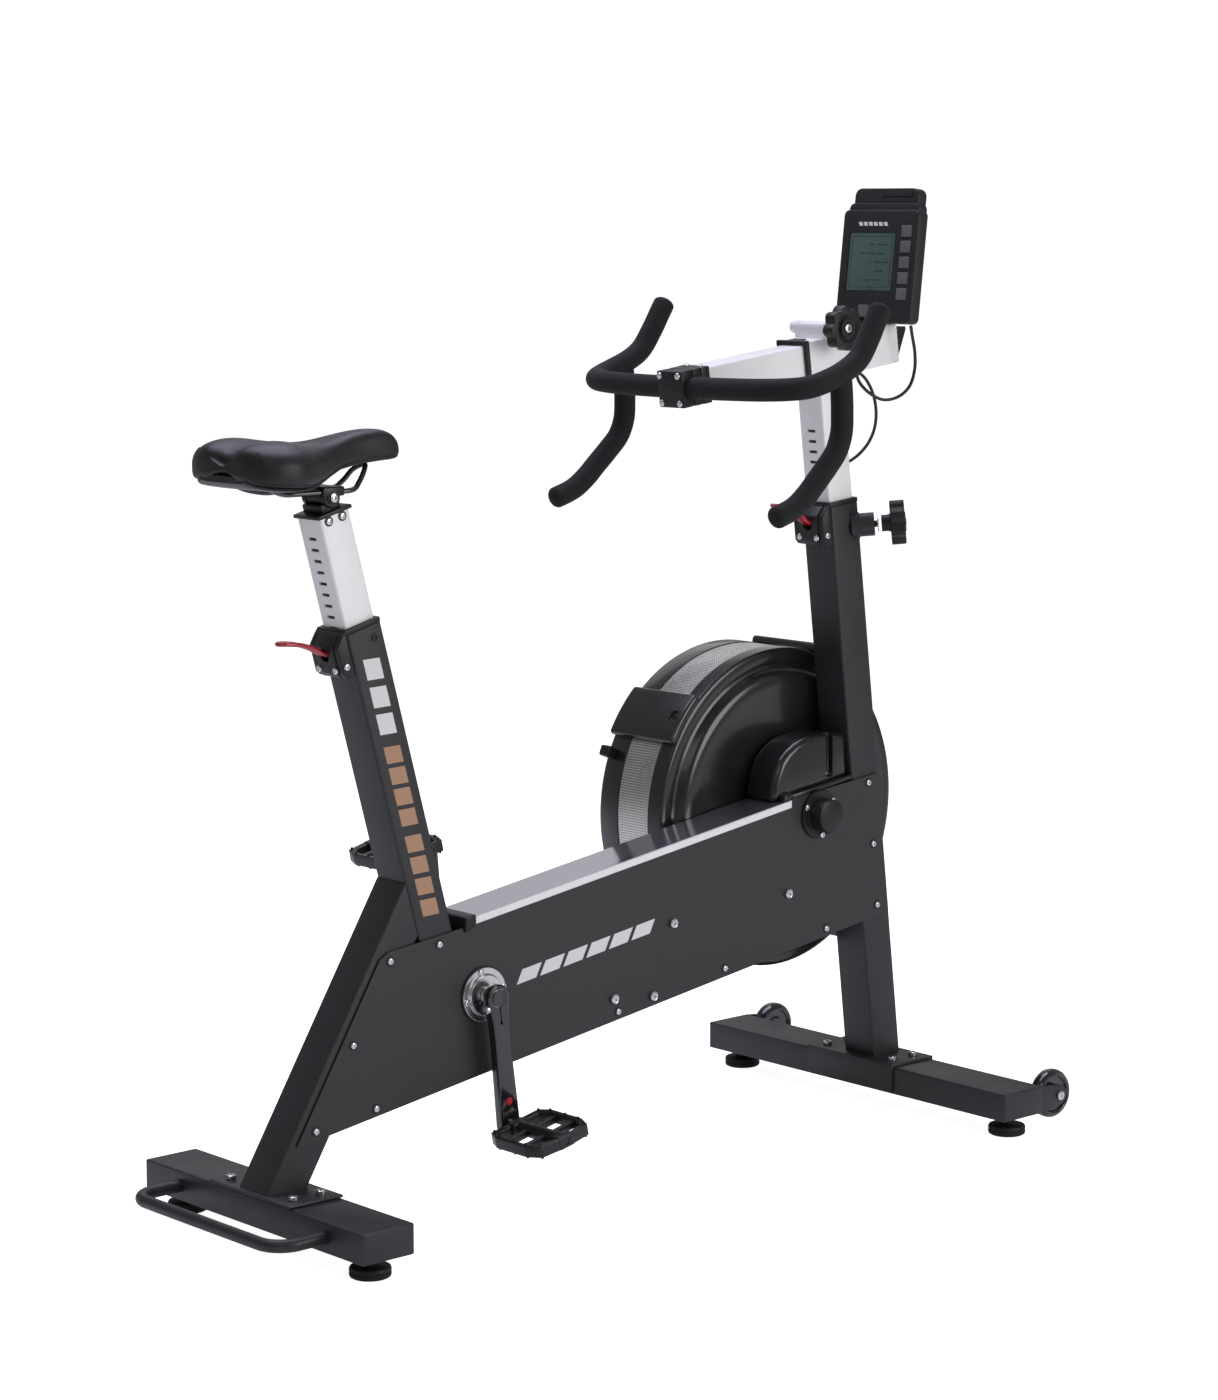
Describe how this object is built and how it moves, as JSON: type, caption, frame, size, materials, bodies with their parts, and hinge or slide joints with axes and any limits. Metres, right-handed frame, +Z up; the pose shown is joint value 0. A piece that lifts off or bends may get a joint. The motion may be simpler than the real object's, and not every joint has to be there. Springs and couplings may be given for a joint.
{
  "type": "air bike",
  "caption": "Air-resistance exercise bike with a side fan, sliding saddle and handlebar posts, upright and drop grips, and a console.",
  "frame": {"origin": "centre of the bounding box on the floor, under the middle of the frame", "axes": "+X towards the front of the bike, +Y to the rider's left where the fan is, +Z up"},
  "size_m": [1.318, 0.618, 1.3418],
  "materials": {
    "frame_paint": "satin dark charcoal powder coat",
    "cover_paint": "matte dark charcoal",
    "aluminium": "fine brushed, pale silver",
    "steel": "brushed",
    "mesh_steel": "perforated bright sheet",
    "rail_steel": "satin black",
    "gloss_black": "glossy moulded black",
    "black_plastic": "satin moulded black",
    "crank_paint": "glossy black",
    "red_paint": "glossy red",
    "foam": "fine matte foam",
    "rubber": "matte",
    "saddle_skin": "smooth black vinyl",
    "screen": "grey-green display under a clear lens",
    "key_plastic": "matte grey"
  },
  "bodies": {
    "frame": {"rear_stabilizer": "frame_paint", "front_stabilizer": "frame_paint", "rear_leg": "frame_paint", "front_post": "frame_paint", "main_beam": "frame_paint", "right_cover": "cover_paint", "left_cover": "cover_paint", "top_guard": "aluminium", "seat_tube": "frame_paint", "seat_collar": "black_plastic", "post_collar": "black_plastic", "fan_housing_right": "gloss_black", "fan_housing_left": "gloss_black", "fan_mesh": "mesh_steel", "hump_cover": "gloss_black", "axle_cap": "gloss_black", "bearing_right": "steel", "bearing_left": "steel", "drive_belt": "rubber", "fan_belt": "rubber"},
    "seat_lever": {"seat_lever": "red_paint"},
    "post_lever": {"post_lever": "red_paint"},
    "post_knob": {"post_knob": "black_plastic"},
    "reach_knob": {"reach_knob": "black_plastic"},
    "seat_post": {"seat_post": "aluminium"},
    "saddle_clamp": {"saddle_clamp": "black_plastic"},
    "saddle": {"saddle_rails": "rail_steel", "saddle_base": "black_plastic", "saddle_cushion": "saddle_skin"},
    "bar_post": {"handlebar_post": "aluminium", "reach_sleeve": "aluminium", "console_bracket": "black_plastic", "sensor_cable": "rubber"},
    "slider": {"reach_slider": "aluminium", "stem_cap": "black_plastic", "stem_block": "black_plastic", "handlebar": "foam", "right_drop": "foam", "left_drop": "foam"},
    "console": {"console_housing": "black_plastic", "console_screen": "screen"},
    "key_1": {"key_1": "key_plastic"},
    "key_2": {"key_2": "key_plastic"},
    "key_3": {"key_3": "key_plastic"},
    "key_4": {"key_4": "key_plastic"},
    "key_5": {"key_5": "key_plastic"},
    "key_6": {"key_6": "key_plastic"},
    "crank": {"crank_spindle": "steel", "crank_right": "crank_paint", "crank_left": "crank_paint"},
    "pedal_right": {"pedal_right": "black_plastic"},
    "pedal_left": {"pedal_left": "black_plastic"},
    "layshaft": {"layshaft": "steel"},
    "fan": {"fan_wheel": "black_plastic"},
    "wheel_right": {"wheel_right": "rubber"},
    "wheel_left": {"wheel_left": "rubber"},
    "foot_front_right": {"foot_front_right": "rubber"},
    "foot_front_left": {"foot_front_left": "rubber"},
    "foot_rear_right": {"foot_rear_right": "rubber"},
    "foot_rear_left": {"foot_rear_left": "rubber"}
  },
  "joints": [
    {"name": "seat_height", "type": "slide", "parent": "frame", "child": "seat_post", "axis": [-0.2639, 0, 0.9646], "range_m": [-0.13, 0.09]},
    {"name": "saddle_tilt", "type": "hinge", "parent": "seat_post", "child": "saddle_clamp", "pos_m": [-0.452, 0, 0.949], "axis": [0, 1, 0], "range_deg": [-8, 8]},
    {"name": "saddle_slide", "type": "slide", "parent": "saddle_clamp", "child": "saddle", "axis": [1, 0, 0], "range_m": [-0.008, 0.02]},
    {"name": "bar_height", "type": "slide", "parent": "frame", "child": "bar_post", "axis": [-0.1167, 0, 0.9932], "range_m": [-0.04, 0.1]},
    {"name": "reach", "type": "slide", "parent": "bar_post", "child": "slider", "axis": [0.9914, 0, 0.1305], "range_m": [-0.06, 0.04]},
    {"name": "console_tilt", "type": "hinge", "parent": "bar_post", "child": "console", "pos_m": [0.56958, 0, 1.15858], "axis": [0, 1, 0], "range_deg": [-4, 25]},
    {"name": "key_1_press", "type": "slide", "parent": "console", "child": "key_1", "axis": [0.993, 0, -0.1184], "range_m": [0, 0.0015], "stiffness_N_per_m": 500, "springref_m": -0.001},
    {"name": "key_2_press", "type": "slide", "parent": "console", "child": "key_2", "axis": [0.993, 0, -0.1184], "range_m": [0, 0.0015], "stiffness_N_per_m": 500, "springref_m": -0.001},
    {"name": "key_3_press", "type": "slide", "parent": "console", "child": "key_3", "axis": [0.993, 0, -0.1184], "range_m": [0, 0.0015], "stiffness_N_per_m": 500, "springref_m": -0.001},
    {"name": "key_4_press", "type": "slide", "parent": "console", "child": "key_4", "axis": [0.993, 0, -0.1184], "range_m": [0, 0.0015], "stiffness_N_per_m": 500, "springref_m": -0.001},
    {"name": "key_5_press", "type": "slide", "parent": "console", "child": "key_5", "axis": [0.993, 0, -0.1184], "range_m": [0, 0.0015], "stiffness_N_per_m": 500, "springref_m": -0.001},
    {"name": "key_6_press", "type": "slide", "parent": "console", "child": "key_6", "axis": [0.993, 0, -0.1184], "range_m": [0, 0.0015], "stiffness_N_per_m": 500, "springref_m": -0.001},
    {"name": "crank_spin", "type": "hinge", "parent": "frame", "child": "crank", "pos_m": [-0.22, 0, 0.2793], "axis": [0, 1, 0], "continuous": true},
    {"name": "pedal_right_spin", "type": "hinge", "parent": "crank", "child": "pedal_right", "pos_m": [-0.19989, -0.125, 0.10546], "axis": [0, 1, 0], "continuous": true},
    {"name": "pedal_left_spin", "type": "hinge", "parent": "crank", "child": "pedal_left", "pos_m": [-0.24011, 0.125, 0.45314], "axis": [0, 1, 0], "continuous": true},
    {"name": "layshaft_spin", "type": "hinge", "parent": "frame", "child": "layshaft", "pos_m": [0.119, 0, 0.33], "axis": [0, 1, 0], "continuous": true},
    {"name": "fan_spin", "type": "hinge", "parent": "frame", "child": "fan", "pos_m": [0.404, 0, 0.4475], "axis": [0, 1, 0], "continuous": true},
    {"name": "wheel_right_spin", "type": "hinge", "parent": "frame", "child": "wheel_right", "pos_m": [0.624, -0.286, 0.048], "axis": [0, 1, 0], "continuous": true},
    {"name": "wheel_left_spin", "type": "hinge", "parent": "frame", "child": "wheel_left", "pos_m": [0.624, 0.286, 0.048], "axis": [0, 1, 0], "continuous": true},
    {"name": "seat_lever_pull", "type": "hinge", "parent": "frame", "child": "seat_lever", "pos_m": [-0.43815, 0, 0.7475], "axis": [0, 1, 0], "range_deg": [0, 12], "stiffness_Nm_per_rad": 0.5, "springref_deg": -8.59},
    {"name": "post_lever_pull", "type": "hinge", "parent": "frame", "child": "post_lever", "pos_m": [0.42275, 0, 0.86137], "axis": [0, 1, 0], "range_deg": [0, 12], "stiffness_Nm_per_rad": 0.5, "springref_deg": -8.59},
    {"name": "post_knob_turn", "type": "hinge", "parent": "frame", "child": "post_knob", "pos_m": [0.52024, -0.0601, 0.86201], "axis": [0.7023, -0.7071, 0.0825], "continuous": true},
    {"name": "reach_knob_turn", "type": "hinge", "parent": "bar_post", "child": "reach_knob", "pos_m": [0.42114, -0.06, 1.14296], "axis": [0, 1, 0], "continuous": true},
    {"name": "foot_front_right_screw", "type": "slide", "parent": "frame", "child": "foot_front_right", "axis": [0, 0, -1], "range_m": [0, 0.012]},
    {"name": "foot_front_left_screw", "type": "slide", "parent": "frame", "child": "foot_front_left", "axis": [0, 0, -1], "range_m": [0, 0.012]},
    {"name": "foot_rear_right_screw", "type": "slide", "parent": "frame", "child": "foot_rear_right", "axis": [0, 0, -1], "range_m": [0, 0.012]},
    {"name": "foot_rear_left_screw", "type": "slide", "parent": "frame", "child": "foot_rear_left", "axis": [0, 0, -1], "range_m": [0, 0.012]}
  ],
  "couplings": [
    {"joint": "layshaft_spin", "follows": "crank_spin", "ratio": 3.4444},
    {"joint": "fan_spin", "follows": "crank_spin", "ratio": 8.6111}
  ]
}
